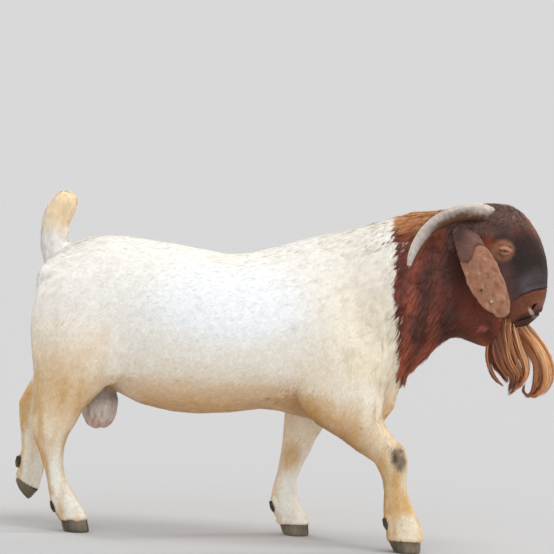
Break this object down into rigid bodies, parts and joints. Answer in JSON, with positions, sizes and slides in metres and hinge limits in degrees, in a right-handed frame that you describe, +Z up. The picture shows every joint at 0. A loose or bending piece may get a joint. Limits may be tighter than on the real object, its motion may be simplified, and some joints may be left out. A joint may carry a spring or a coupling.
{
  "type": "goat buck figure",
  "caption": "Life-size walking buck with a brown head and neck, white body, swept-back horns, long hanging ears and a full beard.",
  "frame": {"origin": "centre of the bounding box, on the floor under the buck", "axes": "+X towards the muzzle, +Y towards the buck's left side, +Z up"},
  "size_m": [1.359, 0.3912, 0.87],
  "materials": {
    "white_coat": "short dense hair, white with cream on the belly and legs",
    "brown_coat": "longer red-brown hair",
    "beard_hair": "long glossy hair in locks",
    "ear_skin": "thin skin with sparse hair",
    "scrotum_skin": "bare wrinkled skin",
    "horn": "dull keratin with growth ridges",
    "claw": "dark worn horn",
    "eye": "wet and glossy"
  },
  "bodies": {
    "root": {"beard": "beard_hair", "claw_fore_left_inner": "claw", "claw_fore_left_outer": "claw", "claw_fore_right_inner": "claw", "claw_fore_right_outer": "claw", "claw_hind_left_inner": "claw", "claw_hind_left_outer": "claw", "claw_hind_right_inner": "claw", "claw_hind_right_outer": "claw", "dewclaw_fore_left_inner": "claw", "dewclaw_fore_left_outer": "claw", "dewclaw_fore_right_inner": "claw", "dewclaw_fore_right_outer": "claw", "dewclaw_hind_left_inner": "claw", "dewclaw_hind_left_outer": "claw", "dewclaw_hind_right_inner": "claw", "dewclaw_hind_right_outer": "claw", "ear_left": "ear_skin", "ear_right": "ear_skin", "eye_left": "eye", "eye_right": "eye", "foreleg_left_lower": "white_coat", "foreleg_left_upper": "white_coat", "foreleg_right_lower": "white_coat", "foreleg_right_upper": "white_coat", "head": "brown_coat", "hindleg_left_lower": "white_coat", "hindleg_left_upper": "white_coat", "hindleg_right_lower": "white_coat", "hindleg_right_upper": "white_coat", "horn_left": "horn", "horn_right": "horn", "neck": "brown_coat", "scrotum": "scrotum_skin", "tail": "white_coat", "trunk": "white_coat"}
  },
  "joints": []
}
